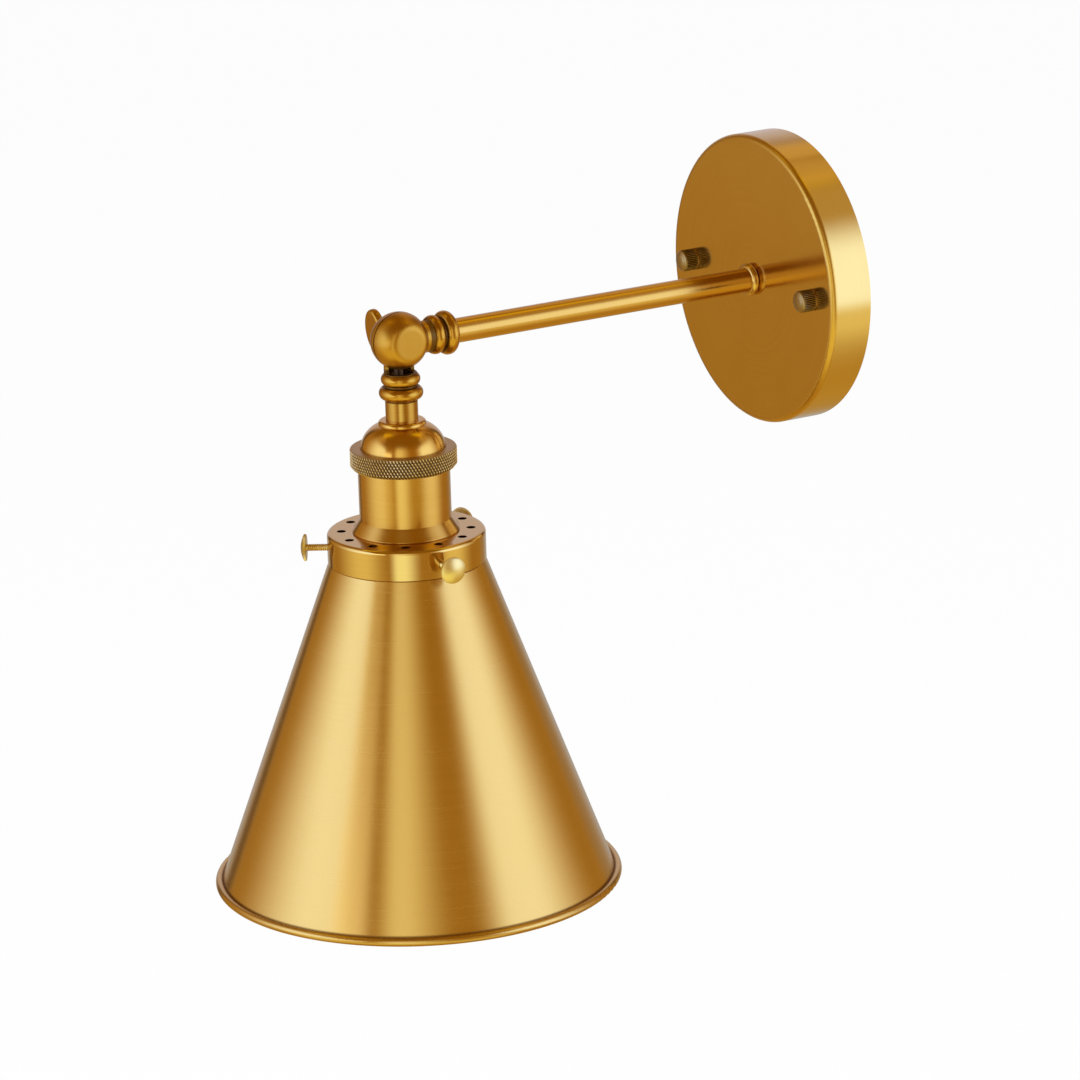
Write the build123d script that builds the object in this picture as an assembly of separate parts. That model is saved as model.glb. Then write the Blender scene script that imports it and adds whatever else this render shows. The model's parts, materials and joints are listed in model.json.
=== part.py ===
from build123d import *
import os
from math import radians, sqrt, tan

# Adjustable wall lamp in satin brass: a spun backplate on a wall bar, a straight tube arm, a split ball
# knuckle with a wing screw, and a lampholder that carries a vented fitter and a cone shade.
# Millimetres, +Z up. The origin is on the wall plane at the backplate's centre, the arm leaves the wall
# along -Y, and the head hangs straight down from the knuckle.

# Fits
THREAD_GAP = 0.05  # radial gap between a thread and its tapped hole
SLIP_GAP = 0.3  # gap between pieces that slip together
SEAT_GAP = 0.05  # end gap at a face that turns on another

# Backplate
PLATE_DIAMETER = 120.0
PLATE_DEPTH = 18.5
PLATE_SHEET = 1.2
PLATE_EDGE = 2.2  # outer radius of the rounded front edge

# Wall bar with its studs and cap nuts
BAR_WIDTH = 16.0
BAR_SHEET = 2.0
BAR_HOLE = 11.0  # wire hole in the middle
STUD_INSET = 15.55  # from the backplate's outer edge to a stud's axis
STUD_DIAMETER = 4.0
STUD_NUT_FLATS = 7.0
STUD_NUT_HEIGHT = 3.2
SLOT_TO_STUD = 11.45  # from the middle of a wall screw's slot to the stud beside it
SLOT_LENGTH = 14.0
SLOT_WIDTH = 4.4
GROUND_OFFSET = 15.0  # from the middle of the bar to the earth screw
GROUND_DIAMETER = 4.0
GROUND_HEAD = 7.6
GROUND_HEAD_HEIGHT = 2.4
CAP_NUT_DIAMETER = 9.0
CAP_NUT_LENGTH = 7.0
CAP_NUT_ROOF = 2.2
CAP_NUT_EDGE = 1.6

# Arm
REACH = 185.25  # from the wall to the knuckle's pivot
ARM_DIAMETER = 10.0
ARM_BORE = 7.6
ARM_TAIL = 8.0  # length of tube behind the front of the backplate
ARM_THREAD = 10.0  # length of tube screwed into the knuckle
COLLAR_DIAMETER = 13.5
COLLAR_LENGTH = 3.3
WASHER_DIAMETER = 19.0
WASHER_SHEET = 1.0
LOCK_NUT_FLATS = 14.0
LOCK_NUT_HEIGHT = 3.0

# Split ball knuckle
BALL_DIAMETER = 23.2
BALL_FLAT_CUT = 2.3  # how deep the flat on each side is cut into the ball
BALL_FLAT_EDGE = 3.5
PARTING_GAP = 0.6  # between the two halves, taken up by the friction washer
BALL_WALL = 3.4  # wall round the hollow that lets the wires past the pivot
BOSS_DIAMETER = 9.0  # boss round the pivot inside the hollow
PIVOT_DIAMETER = 5.0
PIVOT_REACH = 6.2  # length of the wing screw past the parting plane
PIVOT_END_ROOM = 0.8
NECK_DIAMETER = 13.2
NECK_LENGTH = 1.4  # from the ball to the first bead
SMALL_BEAD_DIAMETER = 15.8
SMALL_BEAD_WIDTH = 5.2
BEAD_GROOVE = 0.3
LARGE_BEAD_DIAMETER = 17.8
LARGE_BEAD_WIDTH = 5.4
STEM_LIP_WALL = 0.95  # wall of the plain lip round the arm's thread
STEM_LIP_LENGTH = 0.6

# Wing screw
WING_SHOULDER_DIAMETER = 9.2
WING_SHOULDER_LENGTH = 1.4
WING_NECK_DIAMETER = 6.4
WING_NECK_LENGTH = 1.6
WING_LENGTH = 13.0  # across the blade, along the screw
WING_HEIGHT = 18.4
WING_THICKNESS = 3.4
WING_EDGE = 1.3
WING_ANGLE = 6.0  # how far the tightened blade stands off the vertical, in degrees

# Neck and socket cap
NIPPLE_BORE = 7.0
NIPPLE_END = 1.3  # length of nipple past its lock nut
SLEEVE_DIAMETER = 13.1
SLEEVE_LENGTH = 7.8
CAP_BOSS_DIAMETER = 19.2
CAP_BOSS_HEIGHT = 1.8
CAP_BOSS_EDGE = 1.4
CAP_ROOF = 2.9  # thickness that the nipple is screwed through
CAP_INSET = 1.3  # how far the dome's foot lies inside the shell's outside
CAP_DOME_HEIGHT = 10.7
CAP_RIM = 1.1  # straight rim between the dome and the flange
CAP_WALL = 1.2
CAP_FLANGE = 0.8
CAP_FLANGE_WIDTH = 1.1
CAP_SPIGOT = 6.3  # length below the flange that presses on the insulator

# Leads inside the arm and the neck
LEAD_DIAMETER = 2.0
LEAD_SPACING = 2.4  # between the middles of the two leads
LEAD_OFFSET = 1.9  # from the knuckle's parting plane to the leads
LEAD_TAIL = 8.0  # length of lead behind the arm
LEAD_BEND = 2.5

# Knurled ring and socket shell
RING_WALL = 3.0  # how far the ring stands outside the shell
RING_HEIGHT = 8.2
RING_LIP = 2.2
RING_BEVEL = 1.3
RING_EDGE = 0.5
SHELL_DIAMETER = 37.0
SHELL_LENGTH = 31.45
SHELL_WALL = 1.7
SKIRT_FLARE = 3.2  # how far the skirt stands outside the shell
SKIRT_HEIGHT = 5.3
SKIRT_EDGE = 0.5
SKIRT_UNDERCUT = 0.3  # how far the skirt's bottom edge turns back in

# Lampholder inside the shell
INSULATOR_FLANGE = 3.0
INSULATOR_LENGTH = 37.6
INSULATOR_GAP = 0.35  # between the insulator and the shell's bore
SCREW_SHELL_BORE = 26.6
SCREW_SHELL_SHEET = 0.5
SCREW_SHELL_DEPTH = 23.5
SCREW_SHELL_HOLE = 14.0
SCREW_SHELL_INSET = 0.7  # from the insulator's mouth to the screw shell's edge
CONTACT_SHEET = 0.6
CONTACT_WIDTH = 5.0
CONTACT_LENGTH = 9.0
CONTACT_RISE = 1.3
CONTACT_BEND = 1.5
TERMINAL_OFFSET = 9.0
TERMINAL_DIAMETER = 3.5
TERMINAL_LENGTH = 8.0
TERMINAL_HEAD = 6.4
TERMINAL_HEAD_HEIGHT = 2.0
DRIVER_SLOT = 1.0

# Shade fitter
FITTER_DIAMETER = 63.8
FITTER_HEIGHT = 12.2
FITTER_SHEET = 1.0
FITTER_EDGE = 1.6
VENT_COUNT = 12
VENT_DIAMETER = 3.7
VENT_INSET = 5.9  # from the fitter's outside to the middle of a vent
FITTER_RING_WALL = 4.55
FITTER_RING_HEIGHT = 4.0
FITTER_RING_NOTCHES = 8
FITTER_RING_NOTCH = 4.0

# Shade and its thumb screws
SHADE_SHEET = 0.8
SHADE_NECK_GAP = 1.3  # between the shade's neck and the fitter's wall
SHADE_SHOULDER_INSET = 0.3  # how far the cone's top stays inside the fitter's outside
SHADE_SHOULDER_GAP = 0.25
SHADE_SHOULDER_EDGE = 0.4
SHADE_HEIGHT = 133.55  # from the shoulder to the middle of the rim bead
RIM_DIAMETER = 162.4  # across the middle of the rim bead
RIM_BEAD = 3.4
RIM_BEAD_OFFSET = 0.9  # how far the bead's middle stands outside the cone
SCREW_COUNT = 3
SCREW_TURN = 3.0  # how far the first screw stands in front of the +X side, in degrees
SCREW_DEPTH = 6.9  # from the fitter's top to the screws' axes
SCREW_DIAMETER = 3.0
SCREW_STANDOFF = 8.4  # from the fitter's wall to a screw's head
SCREW_HEAD = 10.8
SCREW_HEAD_HEIGHT = 2.4
SCREW_HEAD_EDGE = 1.0  # thickness of the milled edge under the domed face

# Places out from the wall
plate_inside = PLATE_DEPTH - PLATE_SHEET
stud_x = PLATE_DIAMETER / 2 - STUD_INSET
slot_x = stud_x - SLOT_TO_STUD
arm_start = PLATE_DEPTH - ARM_TAIL

# Places along a knuckle stem, from the pivot
ball_radius = BALL_DIAMETER / 2
ball_flat = ball_radius - BALL_FLAT_CUT
pocket_radius = ball_radius - BALL_WALL
small_bead_start = ball_radius + NECK_LENGTH
large_bead_start = small_bead_start + SMALL_BEAD_WIDTH + BEAD_GROOVE
lip_start = large_bead_start + LARGE_BEAD_WIDTH
stem_end = lip_start + STEM_LIP_LENGTH
thread_end = stem_end - ARM_THREAD
bore_start = (BOSS_DIAMETER / 2 + pocket_radius) / 2

# Places down the head, from the pivot
cap_top = stem_end + SLEEVE_LENGTH
cap_ceiling = cap_top + CAP_ROOF
nipple_end = cap_ceiling + LOCK_NUT_HEIGHT + NIPPLE_END
dome_start = cap_top + CAP_BOSS_HEIGHT
dome_end = dome_start + CAP_DOME_HEIGHT
flange_top = dome_end + CAP_RIM
ring_top = flange_top - RING_LIP
shell_top = flange_top + CAP_FLANGE
insulator_top = shell_top + CAP_SPIGOT
insulator_end = insulator_top + INSULATOR_LENGTH
fitter_top = shell_top + SHELL_LENGTH
fitter_inside = fitter_top + FITTER_SHEET
fitter_end = fitter_top + FITTER_HEIGHT
shoulder = fitter_end + SHADE_SHOULDER_GAP
rim_depth = shoulder + SHADE_HEIGHT
screw_shell_end = insulator_end - SCREW_SHELL_INSET
screw_shell_top = screw_shell_end - SCREW_SHELL_DEPTH
cavity_floor = screw_shell_top - CONTACT_SHEET - CONTACT_RISE

# Radii shared by pieces that fit together
arm_radius = ARM_DIAMETER / 2
shell_radius = SHELL_DIAMETER / 2
shell_bore = shell_radius - SHELL_WALL
cap_radius = shell_radius - CAP_INSET
screw_shell_outside = SCREW_SHELL_BORE / 2 + SCREW_SHELL_SHEET
insulator_radius = shell_bore - INSULATOR_GAP
fitter_bore = FITTER_DIAMETER / 2 - FITTER_SHEET
fitter_corner = max(FITTER_EDGE - FITTER_SHEET, 0)
shade_neck = fitter_bore - SHADE_NECK_GAP
shoulder_radius = FITTER_DIAMETER / 2 - SHADE_SHOULDER_INSET

# The three frames: out from the wall, down the head, and the pivot itself
OUT_FROM_WALL = Rot(90, 0, 0)
AT_PIVOT = Pos(0, -REACH, 0)
DOWN_HEAD = AT_PIVOT * Rot(180, 0, 0)


def turned(*corners):
    """Solid turned about Z. Each corner is a radius, a height and, where it is rounded, its radius."""
    points = [corner[:2] for corner in corners]
    rounding = [corner[2] if len(corner) == 3 else 0 for corner in corners]
    return revolve(Plane.XZ * make_face(FilletPolyline(*points, radius=rounding, close=True)), Axis.Z)


def tube(outside, inside, start, end):
    """Plain tube about Z from its outer and inner radius."""
    return turned((inside, start), (outside, start), (outside, end), (inside, end))


def rod(diameter, start, end):
    """Plain round bar about Z."""
    return turned((0, start), (diameter / 2, start), (diameter / 2, end), (0, end))


def hex_nut(flats, height, bore):
    """Hexagon nut on the XY plane with its corners turned down at both ends."""
    corner = flats / sqrt(3)
    bevel = (corner - flats / 2) * tan(radians(30))
    barrel = turned(
        (bore, 0), (flats / 2, 0), (corner, bevel), (corner, height - bevel), (flats / 2, height), (bore, height)
    )
    return barrel & extrude(RegularPolygon(flats / 2, 6, major_radius=False), height)


def slotted_screw(diameter, length, head, head_height):
    """Pan-head screw: its head on the XY plane with the shank below."""
    body = turned(
        (0, -length), (diameter / 2, -length), (diameter / 2, 0), (head / 2, 0),
        (head / 2, head_height, head_height / 2), (0, head_height),
    )
    return body - Pos(0, 0, head_height) * Box(head, DRIVER_SLOT, head_height)


def on_both_studs(piece):
    """The same piece on the left and the right stud."""
    return Compound([OUT_FROM_WALL * Pos(side * stud_x, 0, 0) * piece for side in (-1, 1)])


# Backplate: one spun dish, pierced for the arm and the studs
def backplate():
    outside = PLATE_DIAMETER / 2
    arm_hole = arm_radius + SLIP_GAP
    dish = turned(
        (outside, 0),
        (outside, PLATE_DEPTH, PLATE_EDGE),
        (arm_hole, PLATE_DEPTH),
        (arm_hole, plate_inside),
        (outside - PLATE_SHEET, plate_inside, max(PLATE_EDGE - PLATE_SHEET, 0)),
        (outside - PLATE_SHEET, 0),
    )
    for side in (-1, 1):
        dish -= Pos(side * stud_x, 0, 0) * rod(STUD_DIAMETER + 2 * SLIP_GAP, 0, PLATE_DEPTH)
    return OUT_FROM_WALL * dish


# Wall bar: flat steel with round ends, slots for the wall screws and tapped holes for the studs
def wall_bar():
    outline = SlotCenterToCenter(2 * stud_x, BAR_WIDTH) - Circle(BAR_HOLE / 2)
    for side in (-1, 1):
        outline -= Pos(side * slot_x, 0) * SlotOverall(SLOT_LENGTH, SLOT_WIDTH)
        outline -= Pos(side * stud_x, 0) * Circle(STUD_DIAMETER / 2 + THREAD_GAP)
    outline -= Pos(GROUND_OFFSET, 0) * Circle(GROUND_DIAMETER / 2 + THREAD_GAP)
    return OUT_FROM_WALL * extrude(outline, BAR_SHEET)


def bar_studs():
    stud_end = PLATE_DEPTH + CAP_NUT_LENGTH - CAP_NUT_ROOF - SLIP_GAP
    return on_both_studs(rod(STUD_DIAMETER, 0, stud_end))


def stud_lock_nuts():
    nut = hex_nut(STUD_NUT_FLATS, STUD_NUT_HEIGHT, STUD_DIAMETER / 2 + THREAD_GAP)
    return on_both_studs(Pos(0, 0, BAR_SHEET) * nut)


def ground_screw():
    screw = slotted_screw(GROUND_DIAMETER, BAR_SHEET, GROUND_HEAD, GROUND_HEAD_HEIGHT)
    return OUT_FROM_WALL * Pos(GROUND_OFFSET, 0, BAR_SHEET) * screw


# Cap nuts: closed thumb nuts that draw the backplate to the wall
def cap_nuts():
    bore = STUD_DIAMETER / 2 + THREAD_GAP
    outside = CAP_NUT_DIAMETER / 2
    nut = turned(
        (bore, 0),
        (outside, 0),
        (outside, CAP_NUT_LENGTH, CAP_NUT_EDGE),
        (0, CAP_NUT_LENGTH),
        (0, CAP_NUT_LENGTH - CAP_NUT_ROOF),
        (bore, CAP_NUT_LENGTH - CAP_NUT_ROOF),
    )
    return on_both_studs(Pos(0, 0, PLATE_DEPTH) * nut)


# Arm: a tube threaded at both ends, clamped to the backplate between its collar and its lock nut
def arm_tube():
    return OUT_FROM_WALL * tube(arm_radius, ARM_BORE / 2, arm_start, REACH - thread_end)


def arm_collar():
    outside = COLLAR_DIAMETER / 2
    bore = arm_radius + THREAD_GAP
    rounding = min(COLLAR_LENGTH / 2, outside - bore) * 0.95
    front = PLATE_DEPTH + COLLAR_LENGTH
    ring = turned((bore, PLATE_DEPTH), (outside, PLATE_DEPTH, rounding), (outside, front, rounding), (bore, front))
    return OUT_FROM_WALL * ring


def arm_washer():
    bore = arm_radius + SLIP_GAP
    return OUT_FROM_WALL * tube(WASHER_DIAMETER / 2, bore, plate_inside - WASHER_SHEET, plate_inside)


def arm_lock_nut():
    nut = hex_nut(LOCK_NUT_FLATS, LOCK_NUT_HEIGHT, arm_radius + THREAD_GAP)
    return OUT_FROM_WALL * Pos(0, 0, plate_inside - WASHER_SHEET - LOCK_NUT_HEIGHT) * nut


# Half ball: turned from the parting plane to a flat whose edge runs smoothly into the sphere
def half_ball(parting):
    edge_centre = ball_flat - BALL_FLAT_EDGE
    edge_reach = ball_radius - BALL_FLAT_EDGE
    flat = sqrt(edge_reach**2 - edge_centre**2)
    meeting = (flat * ball_radius / edge_reach, edge_centre * ball_radius / edge_reach)
    rim = (sqrt(ball_radius**2 - parting**2), parting)
    side = TangentArc(rim, meeting, tangent=(-parting, rim[0]))
    edge = TangentArc((flat, ball_flat), meeting, tangent=(1, 0))
    ends = Polyline(rim, (0, parting), (0, ball_flat), (flat, ball_flat))
    return revolve(Plane.XZ * make_face([side, edge, ends]), Axis.Z)


# Wire pocket: the hollow between the pivot's boss and the ball's wall, open at the parting plane
def wire_pocket(parting):
    boss = BOSS_DIAMETER / 2
    top = (boss, sqrt(pocket_radius**2 - boss**2))
    roof = TangentArc((pocket_radius, 0), top, tangent=(0, 1))
    walls = Polyline((pocket_radius, 0), (pocket_radius, -parting), (boss, -parting), top)
    return revolve(Plane.XZ * make_face([roof, walls]), Axis.Z)


# Knuckle half: half a hollow ball and half a neck, cut at the parting plane, on a beaded stem that is bored
# through for the thread and the leads. The ball lies on +X and the stem along +Z.
def knuckle_half(pivot_bore, pivot_depth):
    def bead(diameter, start, width):
        edge = width * 0.49
        end = start + width
        return turned((0, start), (diameter / 2, start, edge), (diameter / 2, end, edge), (0, end))

    parting = PARTING_GAP / 2
    along_pivot = Rot(0, 90, 0)
    neck = rod(NECK_DIAMETER, 0, small_bead_start)
    neck -= Pos(parting - NECK_DIAMETER, 0, small_bead_start / 2) * Box(
        2 * NECK_DIAMETER, 2 * NECK_DIAMETER, small_bead_start
    )
    stem = neck + rod(NECK_DIAMETER, small_bead_start, lip_start)
    stem += bead(SMALL_BEAD_DIAMETER, small_bead_start, SMALL_BEAD_WIDTH)
    stem += bead(LARGE_BEAD_DIAMETER, large_bead_start, LARGE_BEAD_WIDTH)
    stem += rod(ARM_DIAMETER + 2 * (THREAD_GAP + STEM_LIP_WALL), lip_start, stem_end)
    half = stem + along_pivot * half_ball(parting) - along_pivot * wire_pocket(parting)
    half -= rod(ARM_DIAMETER + 2 * THREAD_GAP, bore_start, stem_end)
    return half - along_pivot * rod(pivot_bore, 0, pivot_depth)


def knuckle_arm_half():
    half = knuckle_half(PIVOT_DIAMETER + 2 * THREAD_GAP, PIVOT_REACH + PIVOT_END_ROOM)
    return AT_PIVOT * Rot(-90, 0, 0) * half


def knuckle_head_half():
    return AT_PIVOT * Rot(0, 180, 0) * knuckle_half(PIVOT_DIAMETER + 2 * SLIP_GAP, BALL_DIAMETER)


def friction_washer():
    half_sheet = PARTING_GAP / 2 - SEAT_GAP
    washer = tube(BOSS_DIAMETER / 2, PIVOT_DIAMETER / 2 + SLIP_GAP, -half_sheet, half_sheet)
    return AT_PIVOT * Rot(0, 90, 0) * washer


# Wing screw: a shouldered screw with a flat oval blade. The screw points along +Z while it is made.
def wing_screw():
    shoulder_end = -ball_flat - SEAT_GAP
    neck_end = shoulder_end - WING_SHOULDER_LENGTH
    blade_near = neck_end - WING_NECK_LENGTH
    shank = rod(PIVOT_DIAMETER, shoulder_end, PIVOT_REACH)
    shoulder_disc = rod(WING_SHOULDER_DIAMETER, neck_end, shoulder_end)
    neck = rod(WING_NECK_DIAMETER, blade_near - WING_LENGTH / 2, neck_end)
    oval = Plane.XZ * Pos(0, blade_near - WING_LENGTH / 2) * Ellipse(WING_HEIGHT / 2, WING_LENGTH / 2)
    blade = extrude(oval, WING_THICKNESS / 2, both=True)
    blade = fillet(blade.edges(), WING_EDGE)
    neck &= Box(WING_NECK_DIAMETER, WING_THICKNESS, 4 * WING_LENGTH) + rod(
        WING_NECK_DIAMETER, blade_near, neck_end
    )
    return AT_PIVOT * Rot(WING_ANGLE, 0, 0) * Rot(0, 90, 0) * (shank + shoulder_disc + neck + blade)


# Neck: a threaded nipple under a plain sleeve joins the knuckle to the socket cap
def neck_nipple():
    return DOWN_HEAD * tube(arm_radius, NIPPLE_BORE / 2, thread_end, nipple_end)


def neck_sleeve():
    return DOWN_HEAD * tube(SLEEVE_DIAMETER / 2, arm_radius + SLIP_GAP, stem_end, cap_top)


# Socket cap: a domed cup with a boss, a flange for the knurled ring and a spigot that holds the insulator
def socket_cap():
    thread = arm_radius + THREAD_GAP
    boss = CAP_BOSS_DIAMETER / 2
    inside = cap_radius - CAP_WALL
    flange = cap_radius + CAP_FLANGE_WIDTH
    dome = TangentArc((cap_radius, dome_end), (boss, dome_start), tangent=(0, -1))
    ceiling_edge = boss - CAP_WALL / 2
    hollow = TangentArc((inside, dome_end), (ceiling_edge, cap_ceiling), tangent=(0, -1))
    outer_edge = Polyline(
        (cap_radius, dome_end), (cap_radius, flange_top), (flange, flange_top), (flange, shell_top),
        (cap_radius, shell_top), (cap_radius, insulator_top), (inside, insulator_top), (inside, dome_end),
    )
    boss_edge = TangentArc((boss - CAP_BOSS_EDGE, cap_top), (boss, dome_start), tangent=(1, 0))
    top = Polyline(
        (ceiling_edge, cap_ceiling), (thread, cap_ceiling), (thread, cap_top), (boss - CAP_BOSS_EDGE, cap_top)
    )
    return DOWN_HEAD * revolve(Plane.XZ * make_face([dome, outer_edge, hollow, top, boss_edge]), Axis.Z)


def cap_lock_nut():
    return DOWN_HEAD * Pos(0, 0, cap_ceiling) * hex_nut(LOCK_NUT_FLATS, LOCK_NUT_HEIGHT, arm_radius + THREAD_GAP)


# Knurled ring: a union nut whose lip draws the cap's flange down on the shell
def knurled_ring():
    outside = shell_radius + RING_WALL
    thread = shell_radius + THREAD_GAP
    lip = cap_radius + THREAD_GAP
    end = ring_top + RING_HEIGHT
    ring = turned(
        (lip, ring_top), (outside, ring_top, RING_EDGE), (outside, end - RING_BEVEL), (outside - RING_BEVEL, end),
        (thread, end), (thread, flange_top), (lip, flange_top),
    )
    return DOWN_HEAD * ring


# Socket shell: a turned tube, counterbored for the insulator's flange, with a flared skirt
def socket_shell():
    skirt = shell_radius + SKIRT_FLARE
    counterbore = cap_radius + THREAD_GAP
    ledge = insulator_top + INSULATOR_FLANGE
    skirt_start = fitter_top - SKIRT_HEIGHT
    shell = turned(
        (counterbore, shell_top),
        (shell_radius, shell_top),
        (shell_radius, skirt_start),
        (skirt, fitter_top - SKIRT_EDGE, SKIRT_EDGE / 2),
        (skirt - SKIRT_UNDERCUT, fitter_top),
        (skirt - SHELL_WALL, fitter_top),
        (shell_bore, skirt_start),
        (shell_bore, ledge),
        (counterbore, ledge),
    )
    return DOWN_HEAD * shell


# Insulator: a ceramic core hung on the shell's ledge, with a threaded barrel through the fitter
def insulator():
    cavity = screw_shell_outside + THREAD_GAP
    flange = cap_radius - SLIP_GAP
    flange_end = insulator_top + INSULATOR_FLANGE
    core = turned(
        (0, insulator_top), (flange, insulator_top), (flange, flange_end), (insulator_radius, flange_end),
        (insulator_radius, insulator_end), (cavity, insulator_end), (cavity, cavity_floor), (0, cavity_floor),
    )
    for side in (-1, 1):
        hole = rod(TERMINAL_DIAMETER + 2 * THREAD_GAP, insulator_top, insulator_top + TERMINAL_LENGTH)
        core -= Pos(side * TERMINAL_OFFSET, 0, 0) * hole
    return DOWN_HEAD * core


# Screw shell: the threaded brass sleeve that takes the lamp, turned in at its closed end
def screw_shell():
    bore = SCREW_SHELL_BORE / 2
    sleeve = turned(
        (SCREW_SHELL_HOLE / 2, screw_shell_top - SCREW_SHELL_SHEET),
        (screw_shell_outside, screw_shell_top - SCREW_SHELL_SHEET),
        (screw_shell_outside, screw_shell_end),
        (bore, screw_shell_end),
        (bore, screw_shell_top),
        (SCREW_SHELL_HOLE / 2, screw_shell_top),
    )
    return DOWN_HEAD * sleeve


# Centre contact: a springy brass strip, flat on the insulator at one end and bowed at the other
def centre_contact():
    half = CONTACT_LENGTH / 2
    crest = cavity_floor + CONTACT_RISE
    bends = [(-half, cavity_floor), (-half / 3, cavity_floor), (half / 3, crest), (half, crest)]
    spine = FilletPolyline(*bends, radius=CONTACT_BEND)
    far_edge = Pos(0, CONTACT_SHEET) * spine
    ends = [Line(spine @ t, far_edge @ t) for t in (0, 1)]
    strip = extrude(Plane.XZ * make_face([spine, far_edge] + ends), CONTACT_WIDTH / 2, both=True)
    return DOWN_HEAD * strip


def terminal_screws():
    screw = slotted_screw(TERMINAL_DIAMETER, TERMINAL_LENGTH, TERMINAL_HEAD, TERMINAL_HEAD_HEIGHT)
    facing_up = DOWN_HEAD * Pos(0, 0, insulator_top) * Rot(180, 0, 0)
    return Compound([facing_up * Pos(side * TERMINAL_OFFSET, 0, 0) * screw for side in (-1, 1)])


# Leads: two insulated wires in the arm and two in the head, each pair ending in its own half of the hollow ball
def arm_leads():
    lead = rod(LEAD_DIAMETER, arm_start - LEAD_TAIL, REACH - bore_start)
    places = [Pos(LEAD_OFFSET, side * LEAD_SPACING / 2, 0) for side in (-1, 1)]
    return Compound([OUT_FROM_WALL * place * lead for place in places])


def lamp_leads():
    beside_head = TERMINAL_HEAD / 2 + SLIP_GAP + LEAD_DIAMETER / 2
    leads = []
    for side in (-1, 1):
        at_terminal = (side * TERMINAL_OFFSET, side * beside_head)
        path = FilletPolyline(
            (-LEAD_OFFSET, side * LEAD_SPACING / 2, bore_start),
            (-LEAD_OFFSET, side * LEAD_SPACING / 2, nipple_end + LEAD_BEND),
            (*at_terminal, insulator_top - 2 * LEAD_BEND),
            (*at_terminal, insulator_top - SLIP_GAP),
            radius=LEAD_BEND,
        )
        leads.append(DOWN_HEAD * sweep(Plane(path @ 0, z_dir=path % 0) * Circle(LEAD_DIAMETER / 2), path=path))
    return Compound(leads)


# Shade fitter: a spun cup with a ring of vents, held against the skirt by a notched ring on the barrel
def shade_fitter():
    outside = FITTER_DIAMETER / 2
    hole = insulator_radius + SLIP_GAP
    cup = turned(
        (hole, fitter_top),
        (outside, fitter_top, FITTER_EDGE),
        (outside, fitter_end),
        (fitter_bore, fitter_end),
        (fitter_bore, fitter_inside, fitter_corner),
        (hole, fitter_inside),
    )
    vent = Pos(outside - VENT_INSET, 0, 0) * rod(VENT_DIAMETER, fitter_top, fitter_inside)
    for index in range(VENT_COUNT):
        cup -= Rot(0, 0, index * 360 / VENT_COUNT) * vent
    for index in range(SCREW_COUNT):
        cup -= screw_place(index) * rod(SCREW_DIAMETER + 2 * THREAD_GAP, 0, FITTER_DIAMETER)
    return DOWN_HEAD * cup


def fitter_ring():
    outside = insulator_radius + FITTER_RING_WALL
    end = fitter_inside + FITTER_RING_HEIGHT
    ring = tube(outside, insulator_radius + THREAD_GAP, fitter_inside, end)
    notch = Pos(outside, 0, 0) * rod(FITTER_RING_NOTCH, fitter_inside, end)
    for index in range(FITTER_RING_NOTCHES):
        ring -= Rot(0, 0, (index + 0.5) * 360 / FITTER_RING_NOTCHES) * notch
    return DOWN_HEAD * ring


# Cone shade: a neck inside the fitter, a shoulder under its edge, the cone and a rolled rim
def cone_shade():
    neck_top = fitter_inside + fitter_corner + SLIP_GAP
    lip = fitter_bore - SLIP_GAP
    cone_end = RIM_DIAMETER / 2 - RIM_BEAD_OFFSET
    shell = turned(
        (shade_neck - SHADE_SHEET, neck_top),
        (lip, neck_top),
        (lip, neck_top + SHADE_SHEET),
        (shade_neck, neck_top + SHADE_SHEET),
        (shade_neck, shoulder),
        (shoulder_radius, shoulder, SHADE_SHOULDER_EDGE),
        (cone_end, rim_depth),
        (cone_end - SHADE_SHEET, rim_depth),
        (shoulder_radius - SHADE_SHEET, shoulder + SHADE_SHEET),
        (shade_neck - SHADE_SHEET, shoulder + SHADE_SHEET),
    )
    return DOWN_HEAD * (shell + Pos(0, 0, rim_depth) * Torus(RIM_DIAMETER / 2, RIM_BEAD / 2))


# Thumb screws: three round-headed screws spread evenly through the fitter's wall
def screw_place(index):
    angle = SCREW_TURN + index * 360 / SCREW_COUNT
    return Pos(0, 0, fitter_top + SCREW_DEPTH) * Rot(0, 0, angle) * Rot(0, 90, 0)


def shade_screw(index):
    tip = shade_neck + SLIP_GAP
    head = FITTER_DIAMETER / 2 + SCREW_STANDOFF
    end = head + SCREW_HEAD_HEIGHT
    milled_edge = (SCREW_HEAD / 2, head + SCREW_HEAD_EDGE)
    crown = TangentArc((0, end), milled_edge, tangent=(1, 0))
    sides = Polyline(
        (0, end), (0, tip), (SCREW_DIAMETER / 2, tip), (SCREW_DIAMETER / 2, head), (SCREW_HEAD / 2, head), milled_edge
    )
    screw = revolve(Plane.XZ * make_face([crown, sides]), Axis.Z)
    return DOWN_HEAD * screw_place(index) * screw


wall_side = [
    backplate, wall_bar, bar_studs, stud_lock_nuts, ground_screw, cap_nuts,
    arm_tube, arm_collar, arm_washer, arm_lock_nut, arm_leads, knuckle_arm_half, friction_washer,
    wing_screw,
]
head_side = [
    knuckle_head_half, neck_nipple, neck_sleeve, socket_cap, cap_lock_nut, knurled_ring, socket_shell,
    insulator, screw_shell, centre_contact, terminal_screws, lamp_leads, shade_fitter, fitter_ring, cone_shade,
]
pieces = {make.__name__: make() for make in wall_side + head_side}
for number in range(SCREW_COUNT):
    pieces[f"shade_screw_{number + 1}"] = shade_screw(number)

os.makedirs("parts", exist_ok=True)
for name, solid in pieces.items():
    export_step(solid, f"parts/{name}.step")
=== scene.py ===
import json
from math import cos, pi, radians, sin

import bmesh
import bpy
from mathutils import Matrix, Vector


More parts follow.
